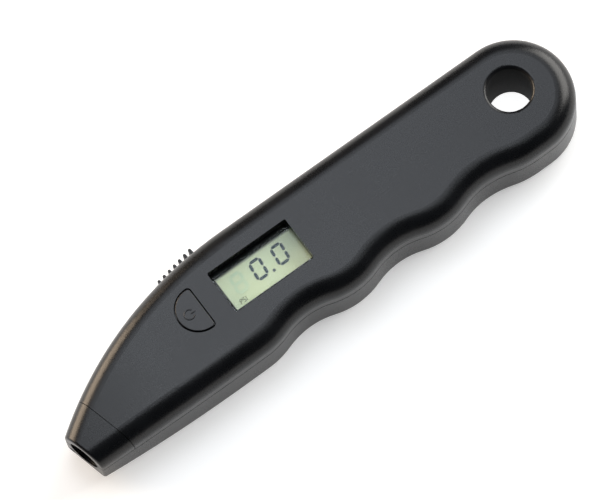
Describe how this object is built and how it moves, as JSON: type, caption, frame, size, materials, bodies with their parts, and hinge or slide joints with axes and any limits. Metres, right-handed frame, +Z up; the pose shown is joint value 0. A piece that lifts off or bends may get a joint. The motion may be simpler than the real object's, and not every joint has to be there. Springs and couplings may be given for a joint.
{
  "type": "tyre tread gauge",
  "caption": "Hand-held digital tyre gauge with a display, a power button, a valve nozzle in a turned nose, a ribbed thumb slide for the tread probe and a hanging hole.",
  "frame": {"origin": "on the axis of the hanging hole, at the face that the gauge rests on", "axes": "+X along the gauge from the nose towards the butt, +Y towards the straight back edge, +Z up out of the display face"},
  "size_m": [0.1648, 0.036, 0.0191],
  "materials": {
    "casing": "satin moulded black-grey plastic",
    "nozzle": "smooth black plastic",
    "rubber": "soft black rubber",
    "brass": "turned brass",
    "tube": "translucent grey silicone tube",
    "sensor": "drawn steel can",
    "leads": "gilded leads",
    "lens": "clear polished acrylic",
    "lcd": "yellow-green liquid crystal panel",
    "frame": "black",
    "strip": "layered conducting rubber",
    "board": "green lacquered laminate",
    "chip": "black epoxy",
    "capacitors": "tan ceramic",
    "switch": "sprung steel dome on a black base",
    "button": "satin black-grey plastic",
    "slide": "satin black plastic",
    "carriage": "natural acetal",
    "steel": "ground steel",
    "spring_metal": "nickel-plated phosphor bronze",
    "cell": "nickel-plated steel",
    "door": "satin moulded black-grey plastic",
    "screw": "blackened steel"
  },
  "bodies": {
    "casing": {"lower_shell": "casing", "upper_shell": "casing", "nose_cover": "casing", "valve_nozzle": "nozzle", "nozzle_ring": "rubber", "nozzle_seal": "rubber", "valve_pin": "brass", "air_tube": "tube", "pressure_sensor": "sensor", "sensor_leads": "leads", "window_lens": "lens", "lcd_panel": "lcd", "display_frame": "frame", "contact_strip_back": "strip", "contact_strip_front": "strip", "circuit_board": "board", "controller_chip": "chip", "board_capacitors": "capacitors", "dome_switch": "switch", "coin_cell": "cell", "plus_contact": "spring_metal", "minus_contact": "spring_metal", "housing_screws": "screw", "board_screws": "screw"},
    "power_button": {"power_button": "button"},
    "tread_slide": {"thumb_slide": "slide", "slide_carriage": "carriage", "position_wiper": "spring_metal", "tread_probe": "steel"},
    "battery_door": {"battery_door": "door"}
  },
  "joints": [
    {"name": "power_button_press", "type": "slide", "parent": "casing", "child": "power_button", "axis": [0, 0, -1], "range_m": [0, 0.0005], "stiffness_N_per_m": 2000, "springref_m": -0.0002},
    {"name": "tread_slide_travel", "type": "slide", "parent": "casing", "child": "tread_slide", "axis": [-0.9681, -0.2504, 0], "range_m": [0, 0.01]},
    {"name": "battery_door_turn", "type": "hinge", "parent": "casing", "child": "battery_door", "pos_m": [-0.04, -0.0012, 0], "axis": [0, 0, 1], "range_deg": [0, 45]}
  ]
}
